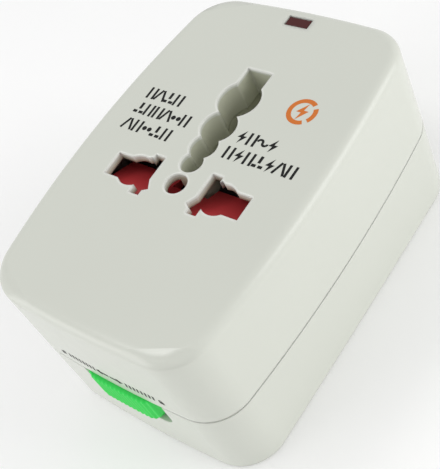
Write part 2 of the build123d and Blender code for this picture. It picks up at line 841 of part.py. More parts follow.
def live_pin(side):
    """Folded plug pin: round root on its pivot, waist for the sleeve, tapered tip."""
    waist = sleeve_wall + sleeve_fit
    half = pin_thickness / 2
    x_low = side * line_x - pin_width / 2
    x_high = side * line_x + pin_width / 2
    with BuildPart() as pin:
        with BuildSketch(Plane.YZ.offset(x_low)):
            with Locations((outlet_y, pin_pivot_z)):
                Circle(half)
            add(box_plan(outlet_y, outlet_y + pin_length, pin_pivot_z - half, pin_pivot_z + half))
        extrude(amount=pin_width)
        chamfer(pin.faces().sort_by(Axis.Y)[-1].edges(), pin_tip)
        with BuildSketch(Plane.XZ.offset(-outlet_y - sleeve_start)):
            add(box_plan(x_low - waist, x_high + waist, pin_pivot_z - pin_width, pin_pivot_z + pin_width))
            low = pin_pivot_z - half + waist
            add(box_plan(x_low + waist, x_high - waist, low, low + pin_thickness - 2 * waist), mode=Mode.SUBTRACT)
        extrude(amount=-sleeve_length, mode=Mode.SUBTRACT)
        with BuildSketch(Plane.YZ.offset(x_low)):
            with Locations((outlet_y, pin_pivot_z)):
                Circle(pivot_radius + pivot_fit)
        extrude(amount=pin_width, mode=Mode.SUBTRACT)
    return pin.part


def pin_sleeve(side):
    """Insulating sleeve round the waist of a line or neutral pin."""
    half = pin_thickness / 2
    x_low = side * line_x - pin_width / 2
    x_high = side * line_x + pin_width / 2
    low = pin_pivot_z - half
    high = pin_pivot_z + half
    with BuildPart() as sleeve:
        with BuildSketch(Plane.XZ.offset(-outlet_y - sleeve_start - sleeve_fit)):
            add(box_plan(x_low, x_high, low, high))
            add(
                box_plan(x_low + sleeve_wall, x_high - sleeve_wall, low + sleeve_wall, high - sleeve_wall),
                mode=Mode.SUBTRACT,
            )
        extrude(amount=-sleeve_length + 2 * sleeve_fit)
    return sleeve.part


line_pin = live_pin(-1)
line_sleeve = pin_sleeve(-1)
neutral_pin = live_pin(1)
neutral_sleeve = pin_sleeve(1)


# Earth pin: the longer, wider pin, folded towards the others on its own pivot
with BuildPart() as earth_pin:
    half = earth_width / 2
    with BuildSketch(Plane.YZ.offset(-pin_thickness / 2)):
        with Locations((earth_y, earth_pivot_z)):
            Circle(half)
        add(box_plan(earth_y - earth_length, earth_y, earth_pivot_z - half, earth_pivot_z + half))
    extrude(amount=pin_thickness)
    chamfer(earth_pin.faces().sort_by(Axis.Y)[0].edges(), pin_tip)
    with BuildSketch(Plane.YZ.offset(-pin_thickness / 2)):
        with Locations((earth_y, earth_pivot_z)):
            Circle(pivot_radius + pivot_fit)
    extrude(amount=pin_thickness, mode=Mode.SUBTRACT)


def leaf(x, y, foot_level):
    """Upright contact strip from a pin's root to the socket half, with or without a foot."""
    half = leaf_width / 2 - 2 * lead_fit
    half_strip = strip / 2 - lead_fit
    with BuildPart() as blade:
        with BuildSketch(Plane.XY.offset(pin_lift)):
            add(box_plan(x - half, x + half, y - half_strip, y + half_strip))
        extrude(amount=tab_top - pin_lift)
        chamfer(blade.faces().sort_by(Axis.Z)[-1].edges().filter_by(Axis.X), strip / 4)
        if foot_level:
            with BuildSketch(Plane.XY.offset(foot_level + seat_gap)):
                add(box_plan(x - half, x + half, y, y + leaf_foot))
            extrude(amount=strip)
    return blade.part


line_leaf = leaf(-line_x, live_tab_y, pin_ceiling + bay_wall)
neutral_leaf = leaf(line_x, live_tab_y, pin_ceiling + bay_wall)
earth_leaf = leaf(0, earth_tab_y, 0)


# Plug deck: inner plate over the pins, screwed to the posts of the plug shell
with BuildPart() as plug_deck:
    with BuildSketch(Plane.XY.offset(deck_under)):
        add(cavity(deck_fit))
    extrude(amount=deck_thickness)
    with BuildSketch(Plane.XY.offset(plug_post_z + seat_gap)):
        with Locations(*screw_spots):
            Circle(cup_radius)
        add(cavity(deck_fit), mode=Mode.INTERSECT)
    extrude(amount=deck_cup - seat_gap)
    with BuildSketch(Plane.XY.offset(deck_top)):
        with Locations(*screw_spots):
            Circle(screw_head + screw_fit)
    extrude(amount=-screw_head_height - screw_fit, mode=Mode.SUBTRACT)
    with BuildSketch(Plane.XY.offset(deck_top)):
        with Locations(*screw_spots):
            Circle(screw_radius + screw_fit)
    extrude(amount=-deck_cup, mode=Mode.SUBTRACT)
    with BuildSketch(Plane.XY.offset(deck_under)):
        add(box_plan(-lock_cut_width / 2, lock_cut_width / 2, -half_length, bar_back + lock_cut_room))
        for side in (-1, 1):
            with Locations((side * line_x, live_tab_y)):
                Rectangle(leaf_width + 2 * lead_fit, strip + 2 * lead_fit)
        with Locations((0, earth_tab_y)):
            Rectangle(leaf_width + 2 * lead_fit, strip + 2 * lead_fit)
    extrude(amount=deck_thickness, mode=Mode.SUBTRACT)


# Deck screws: heads up in the deck's cups, driven down into the posts of the plug shell
deck_screws = screws(deck_top - screw_fit - screw_head_height, -1, deck_screw_length)


# Fuse in its two clips, beside the line pin's bay
with BuildPart() as fuse:
    with BuildSketch(Plane.XZ.offset(-fuse_length / 2)):
        with Locations((fuse_x, fuse_z)):
            Circle(fuse_radius)
    extrude(amount=fuse_length)
    with BuildSketch(Plane.XZ.offset(-fuse_length / 2 + fuse_cap)):
        with Locations((fuse_x, fuse_z)):
            Circle(fuse_radius)
            Circle(fuse_radius - fuse_cap_step, mode=Mode.SUBTRACT)
    extrude(amount=fuse_length - 2 * fuse_cap, mode=Mode.SUBTRACT)

clip_y = fuse_length / 2 - fuse_cap / 2
with BuildPart() as fuse_clips:
    for side in (-1, 1):
        with BuildSketch(Plane.XZ.offset(-side * clip_y - clip_width / 2)):
            with Locations((fuse_x, fuse_z)):
                Circle(fuse_radius + lead_fit + strip)
                Circle(fuse_radius + lead_fit, mode=Mode.SUBTRACT)
            add(
                box_plan(
                    fuse_x - fuse_saddle,
                    fuse_x + fuse_saddle,
                    floor_thickness,
                    fuse_z,
                ),
                mode=Mode.INTERSECT,
            )
        extrude(amount=clip_width)


# Lock slider: ribbed pad in the notch of the front wall, inner lip and tongue behind it
slider_low = slot_bottom + slider_fit / 2
slider_left = notch_x - (slider_width + slider_travel) / 2
slider_right = slider_left + slider_width
slider_mid = (slider_left + slider_right) / 2
tongue_left = slider_mid - tongue_width / 2
tongue_right = slider_mid + tongue_width / 2
rib_pitch = (slider_width - slider_rib) / slider_ribs


def front_band(outer, inner, x_low, x_high):
    """Strip of the front wall between two insets of the parting plan."""
    with BuildSketch() as band:
        add(at_parting(outer))
        add(at_parting(inner), mode=Mode.SUBTRACT)
        add(box_plan(x_low, x_high, -body_length, -half_length / 2), mode=Mode.INTERSECT)
    return band.sketch


with BuildPart() as lock_slider:
    with BuildSketch(Plane.XY.offset(slider_low)):
        add(front_band(-slider_proud, wall + slider_fit / 2, slider_left, slider_right))
    extrude(amount=plug_top - slider_low)
    with BuildSketch(Plane.XZ.offset(half_length / 2)):
        add(cup_view(slider_left, slider_right, slider_low, plug_top, slider_round))
    extrude(amount=half_length, mode=Mode.INTERSECT)
    with BuildSketch(Plane.XY.offset(slider_low)):
        for step in range(slider_ribs):
            groove = slider_left + slider_rib + step * rib_pitch
            add(front_band(-slider_proud, rib_depth - slider_proud, groove, groove + rib_pitch - slider_rib))
    extrude(amount=plug_top - slider_low, mode=Mode.SUBTRACT)
    with BuildSketch(Plane.XY.offset(slider_low)):
        lip_outer = wall + 2 * slider_fit
        add(front_band(wall, lip_outer + lip_depth, slider_left + slider_round, slider_right - slider_round))
        add(front_band(lip_outer, lip_outer + lip_depth, slider_left - lip_reach, slider_right + lip_reach))
        add(box_plan(tongue_left, tongue_right, -half_length + lip_outer + lip_depth / 2, bar_back))
    extrude(amount=tongue_height)


# Lock bar: steel strip behind the wall with the two hooks that hold the socket half
with BuildPart() as lock_bar:
    with BuildSketch(Plane.XZ.offset(-bar_back)):
        add(box_plan(bar_left, bar_right, bar_low, cover_bottom - hook_gap))
        for arm in hook_arms:
            nose_low = cover_top + hook_gap
            add(box_plan(arm, arm + hook_width, bar_low, nose_low + nose_height))
            add(box_plan(arm, arm + hook_width + hook_nose, nose_low, nose_low + nose_height))
        slot_low = slider_low - tongue_fit
        slot_high = slider_low + tongue_height + tongue_fit
        add(
            box_plan(tongue_left - tongue_fit, tongue_right + tongue_fit, slot_low, slot_high),
            mode=Mode.SUBTRACT,
        )
    extrude(amount=bar_depth)
    with BuildSketch(Plane.XY.offset(bar_low)):
        for notch_x in (0, -slider_travel):
            with Locations(Location((notch_x, bar_back, 0), (0, 0, 45))):
                Rectangle(detent_nose / 2, detent_nose / 2)
    extrude(amount=cover_bottom - bar_low, mode=Mode.SUBTRACT)


# Detent spring: bent leaf whose nose marks the two ends of the slider's travel
with BuildPart() as detent_spring:
    with BuildSketch(Plane.XY.offset(detent_low)):
        leaf_back = detent_y - seat_gap
        leaf_face = leaf_back - detent_strip
        nose_tip = bar_back + hook_fit
        with BuildLine():
            Polyline(
                (-detent_half, leaf_back),
                (-detent_half, leaf_face),
                (-detent_nose, leaf_face),
                (0, nose_tip),
                (detent_nose, leaf_face),
                (detent_half, leaf_face),
                (detent_half, leaf_back),
                (detent_nose - detent_strip / 2, leaf_back),
                (0, nose_tip + 1.5 * detent_strip),
                (-detent_nose + detent_strip / 2, leaf_back),
                close=True,
            )
        make_face()
    extrude(amount=detent_height)


pieces = {
    "socket_shell": socket_shell.part,
    "lamp_window": lamp_window.part,
    "contact_block": contact_block.part,
    "line_contact": line_contact,
    "neutral_contact": neutral_contact,
    "earth_contact": earth_contact.part,
    "rear_cover": rear_cover.part,
    "cover_screws": cover_screws,
    "surge_board": surge_board.part,
    "varistor": varistor.part,
    "resistor": resistor.part,
    "lamp": lamp.part,
    "board_leads": board_leads.part,
    "shutter": shutter.part,
    "shutter_spring": shutter_spring.part,
    "blade_hub": blade_hub.part,
    "flat_blades": flat_blades.part,
    "plug_shell": plug_shell.part,
    "pin_pivots": pin_pivots,
    "line_pin": line_pin,
    "line_sleeve": line_sleeve,
    "neutral_pin": neutral_pin,
    "neutral_sleeve": neutral_sleeve,
    "earth_pin": earth_pin.part,
    "line_leaf": line_leaf,
    "neutral_leaf": neutral_leaf,
    "earth_leaf": earth_leaf,
    "plug_deck": plug_deck.part,
    "deck_screws": deck_screws,
    "fuse": fuse.part,
    "fuse_clips": fuse_clips.part,
    "lock_slider": lock_slider.part,
    "lock_bar": lock_bar.part,
    "detent_spring": detent_spring.part,
}
os.makedirs("parts", exist_ok=True)
for name, solid in pieces.items():
    solid.label = name
    export_step(solid, f"parts/{name}.step")
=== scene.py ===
import math

import bmesh
import bpy
import numpy as np
from mathutils import Matrix, Vector


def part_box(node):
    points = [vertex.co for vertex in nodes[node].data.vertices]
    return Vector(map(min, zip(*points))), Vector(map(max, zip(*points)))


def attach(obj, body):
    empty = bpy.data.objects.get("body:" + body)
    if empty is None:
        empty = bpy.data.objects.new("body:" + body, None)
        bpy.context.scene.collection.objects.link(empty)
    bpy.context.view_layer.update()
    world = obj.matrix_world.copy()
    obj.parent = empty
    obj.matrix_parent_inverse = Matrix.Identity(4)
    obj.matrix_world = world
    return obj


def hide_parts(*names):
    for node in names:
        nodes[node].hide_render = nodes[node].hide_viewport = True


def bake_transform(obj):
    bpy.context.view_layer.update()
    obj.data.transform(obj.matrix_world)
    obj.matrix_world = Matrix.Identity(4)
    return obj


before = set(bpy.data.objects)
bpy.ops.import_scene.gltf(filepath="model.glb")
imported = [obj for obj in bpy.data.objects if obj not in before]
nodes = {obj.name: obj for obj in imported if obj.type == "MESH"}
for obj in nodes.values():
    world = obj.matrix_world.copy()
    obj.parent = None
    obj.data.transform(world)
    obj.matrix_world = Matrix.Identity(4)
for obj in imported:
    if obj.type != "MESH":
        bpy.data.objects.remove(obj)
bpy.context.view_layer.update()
MM = 0.001


# Housing: the two outer mouldings of off-white ABS, satin from the mould. Handling has rounded
# their edges, which carry a painted highlight, a shallow facet cuts the corners of the face, and
# painted shade darkens and yellows the walls inside the openings. The shapes are those of the
# frame.
class Value:
    """A number or colour in a material: a sum written with it adds its Math nodes."""

    def __init__(self, finish, socket):
        self.finish = finish
        self.socket = socket

    def math(self, operation, *others):
        """This value first, then the others."""
        values = dict(enumerate((self, *others)))
        return self.finish.node("ShaderNodeMath", values, operation=operation)

    def flipped(self, operation, other):
        """The other value first, then this one."""
        return self.finish.node("ShaderNodeMath", {0: other, 1: self}, operation=operation)

    def __add__(self, other):
        return self.math("ADD", other)

    def __sub__(self, other):
        return self.math("SUBTRACT", other)

    def __mul__(self, other):
        return self.math("MULTIPLY", other)

    def __truediv__(self, other):
        return self.math("DIVIDE", other)

    def __radd__(self, other):
        return self.flipped("ADD", other)

    def __rsub__(self, other):
        return self.flipped("SUBTRACT", other)

    def __rmul__(self, other):
        return self.flipped("MULTIPLY", other)

    def __rtruediv__(self, other):
        return self.flipped("DIVIDE", other)

    def __lt__(self, other):
        return self.math("LESS_THAN", other)

    def __gt__(self, other):
        return self.math("GREATER_THAN", other)

    def __abs__(self):
        return self.math("ABSOLUTE")


class Finish:
    """A material under construction, measured in millimetres of the object's own coordinates."""

    def __init__(self, name, **surface):
        self.material = bpy.data.materials.new(name)
        self.material.use_nodes = True
        self.tree = self.material.node_tree
        self.surface = self.tree.nodes["Principled BSDF"]
        for socket, value in surface.items():
            self.surface.inputs[socket.replace("_", " ")].default_value = value
        self.place = self.node("ShaderNodeTexCoord", {}, "Object")
        split = self.node("ShaderNodeSeparateXYZ", {0: self.place}).socket.node
        self.x, self.y, self.z = (Value(self, split.outputs[k]) / MM for k in range(3))

    def node(self, kind, values, output=0, **settings):
        """Any node: its settings first, then the numbers or links of its sockets."""
        made = self.tree.nodes.new(kind)
        for setting, value in settings.items():
            setattr(made, setting, value)
        for socket, value in values.items():
            if isinstance(value, Value):
                self.tree.links.new(value.socket, made.inputs[socket])
            else:
                made.inputs[socket].default_value = value
        return Value(self, made.outputs[output])

    def feed(self, **sockets):
        """Links values to the surface's sockets, named with _ for a space."""
        for socket, value in sockets.items():
            self.tree.links.new(value.socket, self.surface.inputs[socket.replace("_", " ")])

    def noise(self, size, detail=2.0, stretch=(1, 1, 1)):
        """Smooth noise with features of a size in millimetres, from 0 to 1 about 0.5."""
        scale = tuple(s / (size * MM) for s in stretch)
        scaled = self.node("ShaderNodeVectorMath", {0: self.place, 1: scale}, operation="MULTIPLY")
        values = {"Vector": scaled, "Scale": 1.0, "Detail": detail}
        return self.node("ShaderNodeTexNoise", values, "Fac")

    def mix(self, factor, first, second):
        """Colour that goes from the first to the second as the factor goes from 0 to 1."""
        values = {0: factor, 6: first, 7: second}
        return self.node("ShaderNodeMix", values, 2, data_type="RGBA")

    def ramp(self, value, low, high):
        """0 below low, 1 above high, straight between."""
        return self.node("ShaderNodeMapRange", {"Value": value, "From Min": low, "From Max": high})

    def near(self, x, y, radius):
        """1 inside a circle in plan, 0 outside."""
        across, along = self.x - x, self.y - y
        return across * across + along * along < radius**2

    def eased(self, radius):
        """Normal of a surface whose edges are rounded to a radius in millimetres."""
        return self.node("ShaderNodeBevel", {"Radius": radius * MM}, samples=8)

    def highlight_mask(self, eased, low, high):
        """Mask of a painted edge highlight, 0 on flats and 1 on edges: how far the rounded normal
        leans away from the real one.
        """
        values = {0: eased, 1: self.node("ShaderNodeNewGeometry", {}, "Normal")}
        lean = 1 - self.node("ShaderNodeVectorMath", values, "Value", operation="DOT_PRODUCT")
        return self.ramp(lean, low, high)

    def relief(self, height, depth, eased=None):
        """Bump whose full height stands for a depth in millimetres, over rounded edges if given."""
        values = {"Height": height, "Strength": 1.0, "Distance": depth * MM}
        if eased:
            values["Normal"] = eased
        self.feed(Normal=self.node("ShaderNodeBump", values, "Normal"))

    def wear(self, *names):
        """Puts the material on nodes of the frame."""
        for name in names:
            mesh = nodes[name].data
            mesh.materials.clear()
            mesh.materials.append(self.material)


def moulded(name, colour, roughness, grain=0.35, grain_depth=0.004, drift=0.03, **surface):
    """Injection-moulded plastic: slow drift of the colour, a fine satin grain, patchy gloss.

    The colour drifts by a share of itself and the roughness swings both ways by gloss_swing.
    The grain's size and depth are in millimetres.
    """
    drift_size, gloss_size, gloss_swing = 14.0, 3.0, 0.04
    made = Finish(name, IOR=1.5, **surface)
    light = tuple(min(1.0, c * (1 + drift)) for c in colour) + (1,)
    dark = tuple(c * (1 - drift) for c in colour) + (1,)
    made.colour = made.mix(made.noise(drift_size), dark, light)
    gloss = made.noise(gloss_size, detail=4)
    made.rough = roughness - gloss_swing + 2 * gloss_swing * gloss
    made.grain = made.noise(grain, detail=3)
    made.feed(Base_Color=made.colour, Roughness=made.rough)
    if grain_depth:
        made.relief(made.grain, grain_depth)
    return made


shell_white = (0.625, 0.643, 0.580)
shell = moulded("white_abs", shell_white, 0.24, grain_depth=0, drift=0.012)

# Rounded edges: 0.4 mm, more round the face, and most along its sides and at its ends.
rim_side, rim_end, rim_height = 18.5, 31.0, 32.0
edge_radius, top_adds, side_adds, end_adds = 0.4, 0.5, 0.5, 0.9
at_side, at_end = abs(shell.x) > rim_side, abs(shell.y) > rim_end
more = (shell.z > rim_height) * (top_adds + side_adds * at_side + end_adds * at_end)
eased = shell.eased(edge_radius + more)

# Facets: the surface leans down by facet_depth where a point lies far out towards a corner of
# the face, along the direction (facet_x, facet_y), and high enough.
facet_x, facet_y, facet_start, facet_end = 0.417, 0.909, 36.6, 38.5
facet_low, facet_high, facet_depth, facet_gloss = 34.4, 36.0, 0.3, 0.1
outwards = shell.ramp(facet_x * abs(shell.x) + facet_y * abs(shell.y), facet_start, facet_end)
facet = outwards * shell.ramp(shell.z, facet_low, facet_high)
shell_grain = 0.002
shell.relief(shell_grain * shell.grain - facet_depth * facet, 1.0, eased)
shell.feed(Roughness=shell.rough - facet_gloss * facet)

# Painted highlight on the edges: paler where the rounded normal leans away, less so along the
# outer rims.
highlight_white, least_lean, most_lean, calm = (0.79, 0.80, 0.75, 1), 0.003, 0.06, 0.7
edge_highlight = shell.highlight_mask(eased, least_lean, most_lean) * (1 - calm * (at_side + at_end))
shell.colour = shell.mix(edge_highlight, shell.colour, highlight_white)

# Walls inside the openings: a block of space round the wells takes a darker, yellower white,
# painted shade of the deep walls.
well_shade, well_shade_share = (0.50, 0.51, 0.36, 1), 0.6
well_y, well_z, well_reach, well_half_height = 4, 27, 17, 8.6
within = (abs(shell.x) < well_reach) * (abs(shell.y - well_y) < well_reach)
inside = within * (abs(shell.z - well_z) < well_half_height)
shell.feed(Base_Color=shell.mix(well_shade_share * inside, shell.colour, well_shade))
shell.wear("socket_shell", "plug_shell")


# Face print: rows of small plug outlines and surge signs pad-printed in black on the face, and
# one orange bolt in a broken ring. The ink stands a fiftieth of a millimetre proud of the domed
# plastic and reaches a little way below it.
def box_mm(node):
    """Lowest and highest corner of a node of the frame, in millimetres."""
    return [np.array(corner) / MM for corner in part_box(node)]


def skin(name, points, faces):
    """A mesh from points in millimetres and faces that list their numbers."""
    mesh = bpy.data.meshes.new(name)
    mesh.from_pydata((points * MM).tolist(), [], faces)
    return mesh


def placed(name, data):
    """A new object of the scene that shows a mesh, shines a light or holds a camera."""
    thing = bpy.data.objects.new(name, data)
    bpy.context.scene.collection.objects.link(thing)
    return thing


def bar(x, y, width, height, turn=0.0):
    """Corners of a rectangle about its middle, turned anticlockwise by an angle in degrees."""
    corners = np.array([(-1, -1), (1, -1), (1, 1), (-1, 1)]) * (width / 2, height / 2)
    c, s = math.cos(math.radians(turn)), math.sin(math.radians(turn))
    return corners @ np.array([(c, s), (-s, c)]) + (x, y)


def disc(x, y, radius, steps=20):
    """Points at even angles round a circle."""
    angle = np.arange(steps) * 2 * np.pi / steps
    return np.stack([x + radius * np.cos(angle), y + radius * np.sin(angle)], 1)


def arch(x, y, radius, stroke, start, sweep, steps=24):
    """Band of one stroke's width along an arc in degrees: outer edge out, inner edge back."""
    angle = np.radians(start + sweep * np.linspace(0, 1, steps))
    way = np.stack([np.cos(angle), np.sin(angle)], 1)
    outer = (radius + stroke / 2) * way
    inner = (radius - stroke / 2) * way[::-1]
    return np.concatenate([outer, inner]) + (x, y)


def bolt(x, y, height):
    """Six-cornered lightning flash, scaled to a height."""
    upper = [(0.12, 0.5), (-0.3, -0.06), (-0.04, -0.06)]
    lower = [(-0.12, -0.5), (0.3, 0.08), (0.04, 0.08)]
    return np.array(upper + lower) * height + (x, y)


def inked(name, shapes, lay, body, finish, proud=0.02, sunk=0.05):
    """Closed thin plates: each outline in millimetres, once over the surface and once below it.

    The surface is lay(x, y), which turns flat points into points in space and outward normals.
    """
    points, faces, start = [], [], 0
    for shape in shapes:
        count = len(shape)
        place, out = lay(shape[:, 0], shape[:, 1])
        points += [place + proud * out, place - sunk * out]
        upper = start + np.arange(count)
        lower = upper + count
        faces.append(upper.tolist())
        faces.append(lower[::-1].tolist())
        faces += np.stack([upper, lower, np.roll(lower, -1), np.roll(upper, -1)], 1).tolist()
        start += 2 * count
    mesh = skin(name, np.concatenate(points), faces)
    mesh.materials.append(finish.material)
    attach(placed(name, mesh), body)


half_length, face_top = box_mm("socket_shell")[1][1:]
face_drop = 0.5
face_radius = (half_length**2 + face_drop**2) / (2 * face_drop)


def on_face(x, y):
    """The face: a shallow arc along its length that drops half a millimetre at the ends."""
    z = face_top - face_radius + np.sqrt(face_radius**2 - y**2)
    out = np.stack([0 * x, y / face_radius, 0 * x + 1], 1)
    return np.stack([x, y, z], 1), out


def round_plug(x, y, h):
    """Two round pins: discs side by side."""
    return [disc(x + side * 0.22 * h, y, 0.18 * h) for side in (-1, 1)]


def flat_plug(x, y, h):
    """Two flat blades: upright bars side by side."""
    return [bar(x + side * 0.24 * h, y, 0.19 * h, h) for side in (-1, 1)]


def slanted_plug(x, y, h):
    """Two slanted blades: bars that lean together at the top, 20 degrees each."""
    return [bar(x + side * 0.24 * h, y, 0.18 * h, h, side * 20) for side in (-1, 1)]


def square_plug(x, y, h):
    """Three square pins: two lying bars below and one upright bar above."""
    low = [bar(x + side * 0.25 * h, y - 0.34 * h, 0.34 * h, 0.22 * h) for side in (-1, 1)]
    return low + [bar(x, y + 0.2 * h, 0.22 * h, 0.56 * h)]


def wave(x, y, h):
    """A mains wave: two half rings side by side, the second upside down, their ends overlapping."""
    r = 0.2 * h
    halves = ((x - 0.98 * r, 0), (x + 0.98 * r, 180))
    return [arch(middle, y, r, 0.17 * h, start, 180, 12) for middle, start in halves]


def flash(x, y, h):
    """A surge: one bolt, a tenth taller than the plugs."""
    return [bolt(x, y, 1.1 * h)]


ink = moulded("black_ink", (0.009, 0.009, 0.009), 0.55, drift=0.1, Specular_IOR_Level=0.2)

# Each row: its left end, its place along the face, the step between signs, and the signs.
sign_height = 2.6
rows = [
    (-17.4, 9.6, 2.1, [flat_plug, slanted_plug, square_plug, flat_plug]),
    (-17.5, 5.9, 2.12, [square_plug, flat_plug, flat_plug, slanted_plug, round_plug, flat_plug]),
    (-17.5, 2.1, 2.25, [slanted_plug, flat_plug, round_plug, square_plug, flat_plug]),
    (5.6, 6.2, 2.15, [flash, flat_plug, wave, flash]),
    (5.3, 2.5, 2.12, [flat_plug, flash, flat_plug, square_plug, flash, slanted_plug, flat_plug]),
]
marks = []
for left, y, step, signs in rows:
    for nth, sign in enumerate(signs):
        marks += sign(left + nth * step, y, sign_height)
inked("face_print", marks, on_face, "socket_half", ink)

orange = moulded("orange_ink", (0.62, 0.155, 0.01), 0.5, drift=0.05)

# The ring's two arcs: start and sweep in degrees.
arcs = ((50, 250), (-40, 70))
ring_x, ring_y, ring_radius, ring_stroke, bolt_height = 12.75, 14.3, 2.4, 0.85, 3.7
ring = [arch(ring_x, ring_y, ring_radius, ring_stroke, start, sweep) for start, sweep in arcs]
inked("face_sign", [bolt(ring_x, ring_y, bolt_height)] + ring, on_face, "socket_half", orange)


# Lock signs: an open padlock, ticks, two arrows, ticks and a shut padlock, pad-printed over the
# slider on the front wall. The slider locks the halves at the right-hand end of its notch.
front_bow, bow_half_width = 1.0, 22.0
front_radius = (bow_half_width**2 + front_bow**2) / (2 * front_bow)


def on_front(x, z):
    """The front wall: a shallow arc across the width, a millimetre back at 22 mm each way."""
    y = -half_length + front_radius - np.sqrt(front_radius**2 - x**2)
    out = np.stack([x / front_radius, 0 * x - 1, 0 * x], 1)
    return np.stack([x, y, z], 1), out


def padlock(x, z, h, swing):
    """Solid case, a half-ring shackle over it and its left leg, both moved aside when open."""
    case = bar(x, z - 0.22 * h, 0.62 * h, 0.56 * h)
    shift = 0.3 * h if swing else 0.0
    shackle = arch(x + shift, z + 0.1 * h, 0.2 * h, 0.11 * h, 0, 180, 14)
    leg = bar(x + shift - 0.2 * h, z + 0.04 * h, 0.11 * h, 0.16 * h)
    return [case, shackle, leg]


def arrow(x, z, h, way):
    """Arrow head and shaft pointing along x, to +x or -x."""
    head, shaft, half_head, half_shaft = 0.6, 0.1, 0.34, 0.12
    upper = [(shaft, half_head), (shaft, half_shaft), (-head, half_shaft)]
    lower = [(px, -py) for px, py in reversed(upper)]
    return (np.array([(head, 0)] + upper + lower) * (way, way) * h) + (x, z)


level, lock_height, open_x, shut_x = 20.4, 1.7, -11.6, 11.4
lock_print = padlock(open_x, level, lock_height, swing=True)
lock_print += padlock(shut_x, level, lock_height, swing=False)
arrow_height, left_arrow_x, right_arrow_x = 2.5, -1.9, 1.5
lock_print += [arrow(left_arrow_x, level, arrow_height, way=-1)]
lock_print += [arrow(right_arrow_x, level, arrow_height, way=1)]
ticks, tick_step, tick_width, tick_height, tick_slant = 8, 0.85, 0.4, 1.5, -12
for first_x in (-9.8, 3.8):
    places = first_x + tick_step * np.arange(ticks)
    lock_print += [bar(x, level, tick_width, tick_height, tick_slant) for x in places]
inked("lock_signs", lock_print, on_front, "socket_half", ink)


# Inner mouldings: rear cover, deck and blade hub of natural nylon, a little yellower and duller
# than the housing, with the coarser grain of a tool that was never polished. The guide block is
# coloured in two parts: near black at the live openings, painted shade that stands for the dark
# cavity seen through them, and a darker, yellower white round the earth opening, painted shade of
# the deep white well.
inner = moulded("natural_nylon", (0.66, 0.65, 0.58), 0.48, grain=0.5, grain_depth=0.008)
inner.wear("rear_cover", "plug_deck", "blade_hub")
cavity_shade_black, well_shade_white = (0.016, 0.013, 0.012), (0.54, 0.55, 0.43, 1)
shade_split = 0.2
guide = moulded("guide_painted_shade", cavity_shade_black, 0.7, grain=0.5, grain_depth=0.006, drift=0.15)
guide.feed(Base_Color=guide.mix(guide.y > shade_split, guide.colour, well_shade_white))
guide.wear("contact_block")


# Shutter: one red acetal slide with a smooth, slightly waxy face. It lies behind the live
# openings, and pins push it aside by its slope.
red = moulded("red_acetal", (0.49, 0.041, 0.046), 0.34, drift=0.05)
red.wear("shutter")


# Lamp window: a clear dark-red acrylic block with polished faces. It is held behind the face,
# a tenth of a millimetre lower, over the lamp.
acrylic_red = (0.06, 0.002, 0.002)
pane = moulded("red_acrylic", acrylic_red, 0.2, grain_depth=0.001, Specular_IOR_Level=0.35)
pane.wear("lamp_window")


# Lock slider: a satin green moulding whose pad has sixteen shallow ribs and ends that curve back
# into the notch. Its lips behind the wall are those of the frame's slider, cut free of the
# frame's own pad and joined to this one.
def slope_back(distance, radius):
    """How far a quarter-round edge has fallen at a distance from its end: 0 beyond the radius."""
    return radius - np.sqrt(radius**2 - np.clip(radius - distance, 0, radius) ** 2)


def slider_pad(half, low, top, front, rear, ribs=16, columns=225, rows=25):
    """Front of the pad over x and z, closed by a flat back.

    The foot rises in a quarter round at both ends. The front bows with the wall, ripples with
    the ribs, falls back in a quarter ellipse at the ends and in quarter rounds at the foot and
    the top edge.
    """
    foot_rise, foot_round, top_round = 3.5, 0.8, 0.3
    end_length, end_depth, rib_depth = 3.2, 2.4, 0.2
    across = np.sin(np.linspace(-1, 1, columns) * np.pi / 2)[:, None]
    upward = (1 - np.cos(np.linspace(0, 1, rows) * np.pi)) / 2
    x = half * across + 0 * upward
    foot = low + slope_back(half - abs(x), foot_rise)
    z = foot + (top - foot) * upward
    ripple = rib_depth / 2 * (1 - np.cos(np.pi * ribs * (across + 1)))
    fall = end_depth * slope_back((half - abs(x)) / end_length, 1)
    fall = fall + slope_back(z - foot, foot_round) + slope_back(top - z, top_round)
    y = front + x**2 / (2 * front_radius) + ripple + fall
    sides = [np.stack([x, y, z], 2), np.stack([x, 0 * y + rear, z], 2)]
    index = np.arange(columns * rows).reshape(columns, rows)
    corners = [index[:-1, :-1], index[1:, :-1], index[1:, 1:], index[:-1, 1:]]
    ahead = np.stack(corners, 2).reshape(-1, 4)
    behind = ahead[:, ::-1] + index.size
    loop = np.concatenate([index[:-1, 0], index[-1, :-1], index[:0:-1, -1], index[0, :0:-1]])
    after = np.roll(loop, -1)
    rim = np.stack([loop, loop + index.size, after + index.size, after], 1)
    points = np.concatenate(sides).reshape(-1, 3)
    return skin("pad", points, np.concatenate([ahead, behind, rim]).tolist())


slider_low, slider_high = box_mm("lock_slider")
lip, cut_back, overlap = 1.2, -34.65, 0.05
pad_half = slider_high[0] - lip
front_part = slider_pad(pad_half, slider_low[2], slider_high[2], slider_low[1], cut_back + overlap)
built = bmesh.new()
built.from_mesh(nodes["lock_slider"].data)
bmesh.ops.remove_doubles(built, verts=built.verts, dist=1e-7)
whole = built.verts[:] + built.edges[:] + built.faces[:]
plane = {"plane_co": (0, cut_back * MM, 0), "plane_no": (0, 1, 0)}
cut = bmesh.ops.bisect_plane(built, geom=whole, clear_inner=True, **plane)
rims = [part for part in cut["geom_cut"] if isinstance(part, bmesh.types.BMEdge)]
bmesh.ops.holes_fill(built, edges=rims)
built.from_mesh(front_part)
pad_mesh = bpy.data.meshes.new("slider_pad")
built.to_mesh(pad_mesh)
built.free()
sharp_angle = 35
pad_mesh.shade_smooth()
pad_mesh.set_sharp_from_angle(angle=math.radians(sharp_angle))
